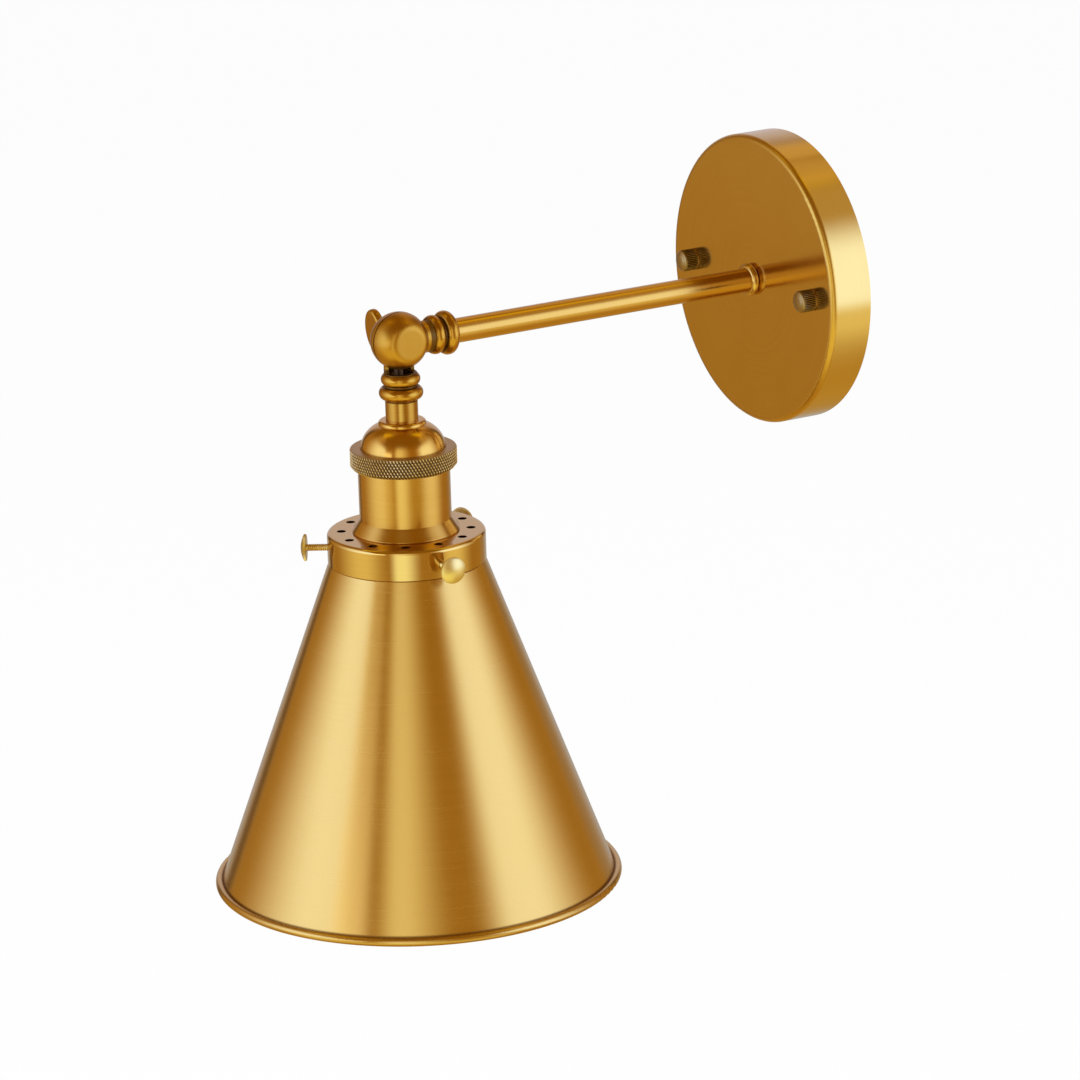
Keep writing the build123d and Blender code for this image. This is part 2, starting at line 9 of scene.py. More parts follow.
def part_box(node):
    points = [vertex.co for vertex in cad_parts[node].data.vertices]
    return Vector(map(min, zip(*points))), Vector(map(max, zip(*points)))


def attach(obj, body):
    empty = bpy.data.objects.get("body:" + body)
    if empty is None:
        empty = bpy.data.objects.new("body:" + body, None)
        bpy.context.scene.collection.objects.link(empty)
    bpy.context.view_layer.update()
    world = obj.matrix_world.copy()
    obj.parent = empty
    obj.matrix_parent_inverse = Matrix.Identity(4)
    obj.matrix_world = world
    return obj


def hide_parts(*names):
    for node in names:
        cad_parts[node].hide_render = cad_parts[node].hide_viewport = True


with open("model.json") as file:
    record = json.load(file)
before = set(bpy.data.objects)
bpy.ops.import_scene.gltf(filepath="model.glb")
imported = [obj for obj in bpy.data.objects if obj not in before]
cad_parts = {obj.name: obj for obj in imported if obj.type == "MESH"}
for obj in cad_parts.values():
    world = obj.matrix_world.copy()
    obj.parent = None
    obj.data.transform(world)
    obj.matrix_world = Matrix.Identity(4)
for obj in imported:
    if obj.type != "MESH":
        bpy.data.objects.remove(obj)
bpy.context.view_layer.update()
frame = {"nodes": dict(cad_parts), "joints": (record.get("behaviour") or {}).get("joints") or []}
nodes = frame["nodes"]

# Wall bar and the nuts that lock its studs. Punched from 2 mm steel and zinc plated, with a dull grey
# spangle. The bar is screwed to the wall and carries everything else.


class Socket:
    """A node's output. Sums on it add Math nodes to its tree."""

    def __init__(self, nodes, socket):
        self.nodes = nodes
        self.socket = socket

    def output(self, name):
        return Socket(self.nodes, self.socket.node.outputs[name])

    def __add__(self, other):
        return self.nodes.math("ADD", self, other)

    def __sub__(self, other):
        return self.nodes.math("SUBTRACT", self, other)

    def __rsub__(self, other):
        return self.nodes.math("SUBTRACT", other, self)

    def __mul__(self, other):
        return self.nodes.math("MULTIPLY", self, other)

    def __truediv__(self, other):
        return self.nodes.math("DIVIDE", self, other)

    def __pow__(self, other):
        return self.nodes.math("POWER", self, other)

    __radd__ = __add__
    __rmul__ = __mul__


class Nodes:
    """Adds nodes to one tree."""

    def __init__(self, tree):
        self.tree = tree

    def node(self, kind, settings=(), inputs=(), output=0):
        """A node from its type, its settings, and the values or links of its sockets."""
        made = self.tree.nodes.new(kind)
        for name, value in dict(settings).items():
            setattr(made, name, value)
        for name, value in dict(inputs).items():
            self.feed(made, name, value)
        return Socket(self, made.outputs[output])

    def feed(self, node, name, value):
        if isinstance(value, Socket):
            self.tree.links.new(value.socket, node.inputs[name])
        else:
            node.inputs[name].default_value = value

    def math(self, operation, *values):
        return self.node("ShaderNodeMath", {"operation": operation}, dict(enumerate(values)))

    def split(self, vector):
        parts = self.node("ShaderNodeSeparateXYZ", {}, {0: vector})
        return [parts.output(axis) for axis in "XYZ"]

    def join(self, x, y, z):
        return self.node("ShaderNodeCombineXYZ", {}, {0: x, 1: y, 2: z})

    def step(self, value, low, high):
        """0 below low and 1 above high, with a smooth step between."""
        limits = {0: value, "From Min": low, "From Max": high}
        return self.node("ShaderNodeMapRange", {"interpolation_type": "SMOOTHSTEP"}, limits)

    def band(self, value, rise, fall):
        """1 between a smooth rise and a smooth fall, each given by its two ends."""
        return self.step(value, *rise) * (1 - self.step(value, *fall))

    def limit(self, value):
        """The value kept between 0 and 1."""
        return self.node("ShaderNodeClamp", {}, {0: value})

    def blend(self, share, first, second):
        """A colour between two colours."""
        return self.node("ShaderNodeMix", {"data_type": "RGBA"}, {0: share, 6: first, 7: second}, 2)


class Finish(Nodes):
    """A material round one Principled shader, with the pattern's own place on the piece."""

    def __init__(self, name, sockets, centre=(0, 0, 0), turn=(0, 0, 0)):
        self.material = bpy.data.materials.new(name)
        self.material.use_nodes = True
        super().__init__(self.material.node_tree)
        self.shader = self.tree.nodes["Principled BSDF"]
        self.set(sockets)
        self.turn = turn
        place = self.node("ShaderNodeTexCoord", output="Object")
        spot = {"Vector": place, "Location": centre, "Rotation": turn}
        self.place = self.node("ShaderNodeMapping", {"vector_type": "TEXTURE"}, spot)

    def set(self, sockets):
        for name, value in sockets.items():
            self.feed(self.shader, name, value)

    def noise(self, scale, detail=3.0, place=None):
        place = place or self.place
        return self.node("ShaderNodeTexNoise", {}, {"Vector": place, "Scale": scale, "Detail": detail})

    def bump(self, height, depth, strength=1.0, normal=None):
        raised = {"Height": height, "Distance": depth, "Strength": strength}
        if normal:
            raised["Normal"] = normal
        self.set({"Normal": self.node("ShaderNodeBump", {}, raised)})

    def move_normal(self, normal, start, end):
        between = {"vector_type": "NORMAL", "convert_from": start, "convert_to": end}
        return self.node("ShaderNodeVectorTransform", between, {0: normal})

    def own_normal(self):
        """The surface's normal in the pattern's axes."""
        surface = self.node("ShaderNodeNewGeometry", output="Normal")
        normal = {"Vector": self.move_normal(surface, "WORLD", "OBJECT"), "Rotation": self.turn}
        return self.node("ShaderNodeMapping", {"vector_type": "TEXTURE"}, normal)

    def world_normal(self, own):
        """A normal in the pattern's axes, turned back to the world's."""
        normal = {"Vector": own, "Rotation": self.turn}
        turned = self.node("ShaderNodeMapping", {"vector_type": "NORMAL"}, normal)
        return self.move_normal(turned, "OBJECT", "WORLD")


def dress(finish, *names):
    """Gives a finish to CAD nodes."""
    for name in names:
        for slot in nodes[name].material_slots:
            slot.material = finish.material


def zinc_plate():
    finish = Finish("zinc_plate", {"Metallic": 1.0})
    cells = finish.node("ShaderNodeTexVoronoi", {}, {"Vector": finish.place, "Scale": 700.0}, "Color")
    spangle = finish.split(cells)[0]
    cloud = finish.noise(140.0)
    scratches = finish.noise(2600.0, 2.0)
    shade = spangle * 0.45 + cloud * 0.55
    finish.set({
        "Base Color": finish.blend(shade, (0.40, 0.41, 0.42, 1), (0.66, 0.65, 0.61, 1)),
        "Roughness": 0.24 + cloud * 0.14 + scratches * 0.12,
    })
    finish.bump(scratches + spangle * 0.4, 0.00002)
    return finish


zinc = zinc_plate()
dress(zinc, "wall_bar", "stud_lock_nuts")

# Studs: two M4 steel studs screwed into the bar, zinc plated, with a rolled 0.7 mm thread for their whole
# length. The cap nuts run on them.


def lathe(name, profile, segments):
    """Object turned about Z from a closed profile of radii and heights. A point on the axis is a pole."""
    vertices = []
    rings = []
    for radius, height in profile:
        count = segments if radius > 1e-9 else 1
        rings.append(range(len(vertices), len(vertices) + count))
        for step in range(count):
            angle = 2 * pi * step / segments
            vertices.append((radius * cos(angle), radius * sin(angle), height))
    faces = []
    for near, far in zip(rings, rings[1:] + rings[:1]):
        for step in range(segments):
            ahead = (step + 1) % segments
            around = [(near, step), (near, ahead), (far, ahead), (far, step)]
            corners = list(dict.fromkeys(ring[spot % len(ring)] for ring, spot in around))
            if len(corners) > 2:
                faces.append(corners)
    mesh = bpy.data.meshes.new(name)
    mesh.from_pydata(vertices, [], faces)
    sides = bmesh.new()
    sides.from_mesh(mesh)
    bmesh.ops.recalc_face_normals(sides, faces=sides.faces)
    sides.to_mesh(mesh)
    sides.free()
    piece = bpy.data.objects.new(name, mesh)
    bpy.context.collection.objects.link(piece)
    return piece


def even_steps(start, end, count):
    """Profile points from start to end, both included."""
    return [
        tuple(a + (b - a) * step / count for a, b in zip(start, end))
        for step in range(count + 1)
    ]


def rolled_pattern():
    """Tree that rolls a thread or a knurl into turned pieces. Ridges run round the axis, leaning by so many
    ridges a metre, and are cut inwards. Each point's height on its ridge is kept as "crest"."""
    tree = bpy.data.node_groups.new("rolled_pattern", "GeometryNodeTree")
    tree.is_modifier = True
    sizes = ["Ridges", "Lean", "Crossed", "Round", "Flat Top", "Depth", "From", "To", "Fade", "Least Radius"]
    kinds = {
        "Blank": "Geometry", **dict.fromkeys(sizes, "Float"),
        "Copies": "Int", "First": "Vector", "Spacing": "Vector", "Finish": "Material",
    }
    for name, kind in kinds.items():
        tree.interface.new_socket(name=name, in_out="INPUT", socket_type="NodeSocket" + kind)
    tree.interface.new_socket(name="Piece", in_out="OUTPUT", socket_type="NodeSocketGeometry")
    make = Nodes(tree)
    given = make.node("NodeGroupInput").output
    x, y, z = make.split(make.node("GeometryNodeInputPosition"))
    radius = make.math("MAXIMUM", (x * x + y * y) ** 0.5, 1e-6)
    turns = make.math("ARCTAN2", y, x) * given("Ridges") / (2 * pi)

    def ridge(phase):
        straight = make.math("ABSOLUTE", make.math("FRACT", phase) - 0.5) * 2
        wave = make.math("COSINE", phase * (2 * pi)) * 0.5 + 0.5
        return straight + (wave - straight) * given("Round")

    one_way = ridge(turns + z * given("Lean"))
    both_ways = make.math("MINIMUM", one_way, ridge(turns - z * given("Lean")))
    height = one_way + (both_ways - one_way) * given("Crossed")
    height = make.math("MINIMUM", height * given("Flat Top"), 1.0)
    inside = make.math("GREATER_THAN", radius, given("Least Radius"))
    for edge in (z - given("From"), given("To") - z):
        inside = inside * make.limit(edge / given("Fade"))
    cut = (height - 1) * given("Depth") * inside / radius
    inwards = {"Geometry": given("Blank"), "Offset": make.join(x * cut, y * cut, 0.0)}
    shaped = make.node("GeometryNodeSetPosition", {}, inwards)
    crest = {"Geometry": shaped, "Name": "crest", "Value": 1 + (height - 1) * inside}
    kept = make.node("GeometryNodeStoreNamedAttribute", {"data_type": "FLOAT", "domain": "POINT"}, crest)
    row = {"Count": given("Copies"), "Start Location": given("First"), "Offset": given("Spacing")}
    spots = make.node("GeometryNodeMeshLine", {"mode": "OFFSET"}, row)
    copies = make.node("GeometryNodeInstanceOnPoints", {}, {"Points": spots, "Instance": kept})
    whole = make.node("GeometryNodeRealizeInstances", {}, {"Geometry": copies})
    finished = make.node("GeometryNodeSetMaterial", {}, {"Geometry": whole, "Material": given("Finish")})
    end = tree.nodes.new("NodeGroupOutput")
    tree.links.new(finished.socket, end.inputs["Piece"])
    return tree


pattern_tree = rolled_pattern()


def roll(piece, finish, sizes):
    """Adds one rolled pattern to a turned piece."""
    modifier = piece.modifiers.new("rolled", "NODES")
    modifier.node_group = pattern_tree
    plain = {"Crossed": 0.0, "Round": 0.0, "Flat Top": 1.0, "Fade": 0.0001, "Least Radius": 0.0, "Lean": 0.0}
    single = {"Copies": 1, "First": (0.0, 0.0, 0.0), "Spacing": (0.0, 0.0, 0.0), "Finish": finish.material}
    chosen = {**plain, **single, **sizes}
    for item in pattern_tree.interface.items_tree:
        if item.in_out == "INPUT" and item.name in chosen:
            modifier[item.identifier] = chosen[item.name]


def set_in_place(piece, place, crease=30):
    """Turns the rolled piece into a plain mesh where it belongs."""
    view = bpy.context.evaluated_depsgraph_get()
    rolled = piece.evaluated_get(view)
    mesh = bpy.data.meshes.new_from_object(rolled, preserve_all_data_layers=True, depsgraph=view)
    piece.modifiers.clear()
    piece.data = mesh
    mesh.transform(place)
    mesh.set_sharp_from_angle(angle=radians(crease))


def stand_in(piece, node, body):
    """The piece takes the CAD node's place on its body."""
    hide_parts(node)
    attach(piece, body)


out_from_wall = Matrix.Rotation(pi / 2, 4, "X")
stud_low, stud_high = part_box("bar_studs")
stud_radius = stud_high.z
stud_length = stud_high.y - stud_low.y
stud_spread = stud_high.x - stud_low.x - 2 * stud_radius
thread_pitch = 0.0007
thread_sides = 24
points_a_ridge = 8
thread_rows = int(stud_length / thread_pitch * points_a_ridge)
bevel = 0.0003
studs = lathe("threaded_studs", [
    (0, 0), (stud_radius - bevel, 0),
    *even_steps((stud_radius, bevel), (stud_radius, stud_length - bevel), thread_rows),
    (stud_radius - bevel, stud_length), (0, stud_length),
], thread_sides)
roll(studs, zinc, {
    "Ridges": 1.0, "Lean": 1 / thread_pitch, "Depth": 0.0004, "Flat Top": 1.15,
    "From": 0.0, "To": stud_length,
    "Copies": 2, "First": (-stud_spread / 2, 0.0, 0.0), "Spacing": (stud_spread, 0.0, 0.0),
})
set_in_place(studs, out_from_wall)
stand_in(studs, "bar_studs", "wall_arm")

# Earth screw: a slotted pan-head screw in the wall bar. Steel under green enamel, scraped bright on the
# high spots by the driver.
green = Finish("green_enamel", {"Coat Weight": 0.4, "Coat Roughness": 0.2})
chips = green.step(green.noise(1500.0, 4.0), 0.60, 0.66)
cloud = green.noise(500.0)
enamel = green.blend(cloud, (0.01, 0.13, 0.035, 1), (0.02, 0.24, 0.06, 1))
green.set({
    "Base Color": green.blend(chips, enamel, (0.5, 0.5, 0.48, 1)),
    "Metallic": chips,
    "Roughness": 0.32 + cloud * 0.15,
})
green.bump(cloud - chips * 0.5, 0.00004)
dress(green, "ground_screw")

# Backplate: one dish spun from 1.2 mm brass, brushed round its middle and lacquered, with its round front
# edge rubbed duller and warmer. It sits over the bar, flat to the wall, and the cap nuts draw it back.


def turned_normal(finish):
    """The normal without its part round the pattern's axis, which hides the seams of a turned mesh."""
    over, aside, along = finish.split(finish.own_normal())
    outward = (over * finish.x + aside * finish.y) / finish.radius
    return finish.join(outward * finish.x / finish.radius, outward * finish.y / finish.radius, along)


lacquer = 0.35


def satin_brass(name, centre=(0, 0, 0), turn=(0, 0, 0), rough=0.24, grain=0.0, pale=0.0, tone=1.0,
                normal_of=turned_normal):
    """Brass turned about the pattern's Z axis: fine rings, a soft mottle and clear lacquer."""
    finish = Finish(name, {
        "Metallic": 1.0, "Anisotropic": grain, "Anisotropic Rotation": 0.25,
        "Coat Weight": lacquer, "Coat Roughness": 0.14, "Coat IOR": 1.5,
    }, centre, turn)
    x, y, z = finish.split(finish.place)
    finish.x, finish.y, finish.along = x, y, z
    finish.radius = finish.math("MAXIMUM", (x * x + y * y) ** 0.5, 0.0001)
    rings_a_metre = 1700.0
    wander = 0.4
    rings = finish.join(
        x / finish.radius * wander, y / finish.radius * wander, (z + finish.radius) * rings_a_metre
    )
    finish.marks = finish.noise(1.0, 3.0, rings)
    finish.mottle = finish.noise(55.0, 4.0)

    def tint(red, green, blue):
        return tone * (red + pale * 0.1), tone * (green + pale * 0.16), tone * (blue + pale * 0.12), 1

    deep = tint(0.60, 0.375, 0.105)
    light = tint(0.68, 0.445, 0.15)
    finish.colour = finish.blend(finish.mottle * 0.45 + finish.marks * 0.55, deep, light)
    finish.roughness = rough - 0.06 + finish.marks * 0.07 + finish.mottle * 0.05
    finish.set({"Base Color": finish.colour, "Roughness": finish.roughness})
    normal = finish.world_normal(normal_of(finish)) if normal_of else None
    finish.bump(finish.marks, 0.000006, 0.3, normal)
    return finish


facing_out = (pi / 2, 0, 0)
plate_brass = satin_brass("backplate_brass", turn=facing_out, rough=0.15, pale=0.25)
plate_low, plate_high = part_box("backplate")
plate_radius = plate_high.z
plate_depth = -plate_low.y
edge_start = 0.0030
edge_full = 0.0010
at_side = plate_brass.step(plate_brass.radius, plate_radius - edge_start, plate_radius - edge_full)
at_front = plate_brass.step(plate_brass.along, plate_depth - edge_start, plate_depth - edge_full)
round_edge = at_side * at_front
plate_brass.set({
    "Base Color": plate_brass.blend(round_edge * 0.8, plate_brass.colour, (0.60, 0.34, 0.05, 1)),
    "Roughness": plate_brass.roughness + round_edge * 0.18,
    "Coat Weight": lacquer - round_edge * 0.25,
})
dress(plate_brass, "backplate")

# Cap nuts: two closed thumb nuts that hold the backplate, turned from brass with a straight knurl and
# darkened to an antique bronze, rubbed bright on the ridges.


def antique_brass(name, dark, worn, dull_from=1.0):
    """Darkened brass whose rolled ridges are rubbed through to the metal, less so above a height."""
    finish = Finish(name, {"Metallic": 1.0, "Coat Weight": 0.2, "Coat Roughness": 0.3})
    crest = finish.node("ShaderNodeAttribute", {"attribute_name": "crest"}, {}, "Fac")
    cloud = finish.noise(400.0, 4.0)
    dull = finish.step(finish.split(finish.place)[2], dull_from - 0.0002, dull_from)
    rubbed = finish.step(crest + (cloud - 0.5) * 0.3, 0.45, 1.0) * (1 - dull * 0.5)
    finish.set({
        "Base Color": finish.blend(rubbed, dark, worn),
        "Roughness": 0.46 - rubbed * 0.14 + cloud * 0.08,
    })
    finish.bump(cloud, 0.00003, 0.4)
    return finish


cap_low, cap_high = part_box("cap_nuts")
cap_radius = cap_high.z
cap_length = cap_high.y - cap_low.y
cap_spread = cap_high.x - cap_low.x - 2 * cap_radius
cap_bronze = antique_brass("antique_brass_caps", (0.025, 0.013, 0.005, 1), (0.38, 0.26, 0.12, 1))
stud_clearance = stud_radius + 0.00005
cap_foot = 0.0003
cap_floor = cap_length - 0.0022
cap_flutes = 36
points_a_flute = 6
rounded_end = [
    (0.00012, 0.0013), (0.00045, 0.0008), (0.0010, 0.00045),
    (0.0015, 0.0004), (0.0017, 0.00025), (0.0026, 0.00006),
]
caps = lathe("knurled_cap_nuts", [
    (stud_clearance, 0), (cap_radius - cap_foot, 0), (cap_radius - cap_foot, cap_foot),
    *even_steps((cap_radius, 0.00045), (cap_radius, cap_length - 0.0019), 6),
    *[(cap_radius - inset, cap_length - drop) for inset, drop in rounded_end],
    (0, cap_length), (0, cap_floor), (stud_clearance, cap_floor),
], cap_flutes * points_a_flute)
roll(caps, cap_bronze, {
    "Ridges": float(cap_flutes), "Depth": 0.0003, "From": cap_foot, "To": cap_length - 0.0010, "Fade": 0.0006,
    "Least Radius": cap_radius - 0.0006, "Copies": 2, "Flat Top": 1.2,
    "First": (-cap_spread / 2, 0.0, 0.0), "Spacing": (cap_spread, 0.0, 0.0),
})
set_in_place(caps, Matrix.Translation((0, cap_high.y, 0)) @ out_from_wall)
stand_in(caps, "cap_nuts", "wall_arm")

# Arm: 10 mm brass tube, drawn, polished and lacquered, with a bead ring in front of the plate. A washer and
# a hexagon nut of plated steel clamp it from behind.
arm_brass = satin_brass("arm_brass", turn=facing_out, rough=0.2, pale=-0.45)
collar_brass = satin_brass("collar_brass", turn=facing_out, rough=0.22)
dress(arm_brass, "arm_tube")
dress(collar_brass, "arm_collar")
dress(zinc, "arm_washer", "arm_lock_nut")

# Leads: stranded copper wires in plastic sleeves, one white and one black through the arm. They are stripped
# where they leave the tube towards the wall.


def lead_sleeve(name, live, colour_side, bare_end):
    """A coloured and a black sleeve told apart by one axis, with copper past the stripped end."""
    finish = Finish(name, {"Coat Weight": 0.15, "Coat Roughness": 0.3})
    axes = finish.split(finish.place)
    black = finish.step(axes[colour_side], -0.0001, 0.0001)
    bare = finish.step(axes[1], bare_end, bare_end + 0.0002)
    cloud = finish.noise(900.0)
    twist = {"Vector": finish.place, "Scale": 1500.0, "Distortion": 2.0}
    strands = finish.node("ShaderNodeTexWave", {}, twist, "Fac")
    sleeve = finish.blend(black, live, (0.02, 0.02, 0.022, 1))
    copper = finish.blend(strands, (0.42, 0.16, 0.07, 1), (0.80, 0.40, 0.22, 1))
    finish.set({
        "Base Color": finish.blend(bare, sleeve, copper),
        "Metallic": bare,
        "Roughness": 0.42 + cloud * 0.15 - bare * 0.2,
    })
    finish.bump(cloud + strands * bare, 0.00004)
    return finish


white_sleeve = (0.78, 0.77, 0.73, 1)
dress(lead_sleeve("arm_lead_sleeve", white_sleeve, colour_side=2, bare_end=-0.0065), "arm_leads")

# Knuckle: a hollow ball split in two halves, each with a neck and a beaded stem. Cast brass, turned and
# lacquered, with brown patina left in the necks and grooves. A fibre washer gives the joint its drag.
joints = {joint["name"]: joint for joint in frame["joints"]}
pivot = Vector(joints["head_tilt"]["pos_m"])
flat_core = 0.0050
flat_edge = 0.0091
ball_inside = 0.0097
ball_outside = 0.0117
stem_start = 0.0130
hair = 0.0001


def ball_and_stem(finish):
    """The normal of the ball, with the edge of its flat softened, and of the turned stem beyond."""
    square = finish.along * finish.along
    away = (finish.radius * finish.radius + square) ** 0.5
    off_flat = finish.step((finish.y * finish.y + square) ** 0.5, flat_core, flat_edge)
    outer = finish.band(away, (ball_inside, ball_inside + hair), (ball_outside, ball_outside + hair))
    rounded = finish.join(finish.x / away, finish.y / away, finish.along / away)
    ball = finish.blend(off_flat, (1, 0, 0, 1), rounded)
    beside_split = finish.step(finish.x, 0.004, 0.006)
    normal = finish.blend(outer * beside_split, finish.own_normal(), ball)
    on_stem = finish.step(finish.along, stem_start, stem_start + hair)
    return finish.blend(on_stem, normal, turned_normal(finish))


def knuckle_brass(name, turn):
    finish = satin_brass(name, tuple(pivot), turn, pale=-0.8, tone=0.9, normal_of=ball_and_stem)

    def stain(start, end, reach, fade=0.0008):
        """1 in a hollow of the stem, from one place along it to another and out to a radius."""
        along = finish.band(finish.along, (start - 0.0005, start), (end, end + fade))
        return along * (1 - finish.step(finish.radius, reach, reach + fade))

    hollows = [stain(0.0114, 0.0134, 0.0066), stain(0.0177, 0.0188, 0.0072), stain(0.0238, 0.0250, 0.0062)]
    deepest = finish.math("MAXIMUM", finish.math("MAXIMUM", hollows[0], hollows[1]), hollows[2])
    patina = finish.limit(deepest * (0.55 + finish.mottle * 0.6))
    on_ball = 1 - finish.step(finish.along, 0.0100, 0.0125)
    finish.set({
        "Base Color": finish.blend(patina, finish.colour, (0.12, 0.055, 0.014, 1)),
        "Roughness": finish.roughness + patina * 0.25 + on_ball * 0.12,
        "Coat Weight": 0.2 - patina * 0.15,
    })
    return finish


along_arm = (-pi / 2, 0, 0)
down_head = (pi, 0, 0)
dress(knuckle_brass("knuckle_brass_arm", along_arm), "knuckle_arm_half")
dress(knuckle_brass("knuckle_brass_head", down_head), "knuckle_head_half")

fibre = Finish("vulcanised_fibre", {"Roughness": 0.75})
flecks = fibre.noise(2200.0, 5.0)
fibre.set({"Base Color": fibre.blend(flecks, (0.09, 0.03, 0.018, 1), (0.22, 0.09, 0.05, 1))})
fibre.bump(flecks, 0.00008)
dress(fibre, "friction_washer")

# Wing screw: pivot and clamp of the knuckle. Brass, forged with a flat oval blade, then ground and lacquered
# as the ball is. It goes through one half of the ball and screws into the other.
across_ball = (0, pi / 2, 0)
wing_brass = satin_brass(
    "wing_brass", tuple(pivot), across_ball, rough=0.3, pale=-0.8, tone=0.9, normal_of=None
)
dress(wing_brass, "wing_screw")

# Neck: a threaded nipple of plated steel under a plain sleeve of turned brass. It joins the knuckle to the
# socket cap, and a hexagon nut inside the cap locks it.
head_axis = (pivot.x, pivot.y, 0)
sleeve_brass = satin_brass("sleeve_brass", head_axis, rough=0.18, grain=0.5, pale=-0.55, tone=0.87)
dress(sleeve_brass, "neck_sleeve")
dress(zinc, "neck_nipple", "cap_lock_nut")

# Socket cap: a domed cup spun from brass and polished brighter than the rest. The nipple comes through the
# boss on its top, and the knurled ring draws it down on the shell.
cap_brass = satin_brass("socket_cap_brass", head_axis, rough=0.18, grain=0.8, pale=-0.5, tone=1.06)
dress(cap_brass, "socket_cap")

# Knurled ring: union nut that draws the cap down on the shell. Turned brass with a crossed knurl of a
# hundred ridges each way, darkened and rubbed bright on the points.
ring_low, ring_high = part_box("knurled_ring")
ring_radius = (ring_high.x - ring_low.x) / 2
ring_top, ring_foot = ring_high.z, ring_low.z
ring_bronze = antique_brass("antique_brass_ring", (0.16, 0.09, 0.035, 1), (0.88, 0.65, 0.35, 1), ring_top)
ridge_count = 100
ridge_height = 0.00234
ring_edge = 0.0005
ring_ease = 0.00015
ring_bevel = 0.0013
knurl_top = ring_top - ring_edge
knurl_foot = ring_foot + ring_bevel
knurl_rows = round((knurl_top - knurl_foot) / ridge_height * points_a_ridge)
lip_radius = 0.01725
thread_radius = 0.01855
lip_depth = 0.0022
ring = lathe("milled_ring", [
    (lip_radius, ring_top), (ring_radius - ring_edge, ring_top),
    (ring_radius - ring_ease, ring_top - ring_ease),
    *even_steps((ring_radius, knurl_top), (ring_radius, knurl_foot), knurl_rows),
    *even_steps((ring_radius - ring_ease, knurl_foot - ring_ease), (ring_radius - ring_bevel, ring_foot), 4),
    (thread_radius, ring_foot), (thread_radius, ring_top - lip_depth), (lip_radius, ring_top - lip_depth),
], ridge_count * points_a_ridge)
roll(ring, ring_bronze, {
    "Ridges": float(ridge_count), "Lean": 1 / ridge_height, "Crossed": 0.5, "Depth": 0.0006, "Flat Top": 1.1,
    "From": ring_foot - 0.0002, "To": ring_top + 0.0001, "Fade": 0.0005, "Least Radius": ring_radius - 0.0016,
})
set_in_place(ring, Matrix.Translation(head_axis), 25)
stand_in(ring, "knurled_ring", "lamp_head")

# Socket shell: a brass tube turned with a flared skirt, brushed round and lacquered. It hangs from the
# knurled ring, with the fitter under its skirt.
shell_brass = satin_brass("shell_brass", head_axis, rough=0.23, grain=0.8, pale=-0.35, tone=1.03)
dress(shell_brass, "socket_shell")

# Lampholder: a glazed porcelain core with a rolled brass screw shell, a sprung centre contact and two
# terminal screws. A brown and a black lead run up from them into the ball.
porcelain = Finish("glazed_porcelain", {"Coat Weight": 0.8, "Coat Roughness": 0.06})
pool = porcelain.noise(220.0)
specks = porcelain.step(porcelain.noise(2400.0, 2.0), 0.70, 0.76)
glaze = porcelain.blend(pool, (0.70, 0.67, 0.60, 1), (0.80, 0.78, 0.73, 1))
porcelain.set({
    "Base Color": porcelain.blend(specks, glaze, (0.35, 0.28, 0.2, 1)),
    "Roughness": 0.16 + pool * 0.12,
})
porcelain.bump(pool, 0.0001, 0.3)
dress(porcelain, "insulator")

contact_brass = Finish("lampholder_brass", {"Metallic": 1.0})
spots = contact_brass.noise(260.0, 5.0)
tarnish = contact_brass.step(spots, 0.35, 0.7)
contact_brass.set({
    "Base Color": contact_brass.blend(tarnish, (0.74, 0.52, 0.20, 1), (0.50, 0.29, 0.09, 1)),
    "Roughness": 0.2 + spots * 0.25,
})
contact_brass.bump(spots, 0.00003, 0.4)
dress(contact_brass, "centre_contact", "terminal_screws")

shell_low, shell_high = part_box("screw_shell")
screw_outside = (shell_high.x - shell_low.x) / 2
screw_sheet = 0.0005
screw_inside = screw_outside - screw_sheet
screw_hole = 0.007
lamp_pitch = 0.00363
screw_rows = 60
screw_shell = lathe("rolled_screw_shell", [
    *even_steps((screw_outside, shell_high.z - bevel), (screw_outside, shell_low.z), screw_rows),
    *even_steps((screw_inside, shell_low.z), (screw_inside, shell_high.z - screw_sheet), screw_rows),
    (screw_hole, shell_high.z - screw_sheet), (screw_hole, shell_high.z),
    (screw_outside - bevel, shell_high.z),
], 96)
plain_end = 0.0012
roll(screw_shell, contact_brass, {
    "Ridges": 1.0, "Lean": 1 / lamp_pitch, "Round": 1.0, "Depth": 0.0009, "Fade": 0.002,
    "From": shell_low.z + plain_end, "To": shell_high.z - plain_end, "Least Radius": screw_hole + 0.002,
})
set_in_place(screw_shell, Matrix.Translation(head_axis), 50)
stand_in(screw_shell, "screw_shell", "lamp_head")
# The brown sleeve is darker than the usual white one: painted shade for the gap under the ball where the
# leads show.
shade_brown_sleeve = (0.13, 0.07, 0.04, 1)
never_bare = 1.0
dress(lead_sleeve("lamp_lead_sleeve", shade_brown_sleeve, colour_side=0, bare_end=never_bare), "lamp_leads")

# Shade fitter: a shallow cup spun from 1 mm brass with twelve vents, held under the shell's skirt by a
# notched steel ring on the porcelain barrel.
fitter_brass = satin_brass("fitter_brass", head_axis, rough=0.1, grain=0.4)
dress(fitter_brass, "shade_fitter")
dress(zinc, "fitter_ring")
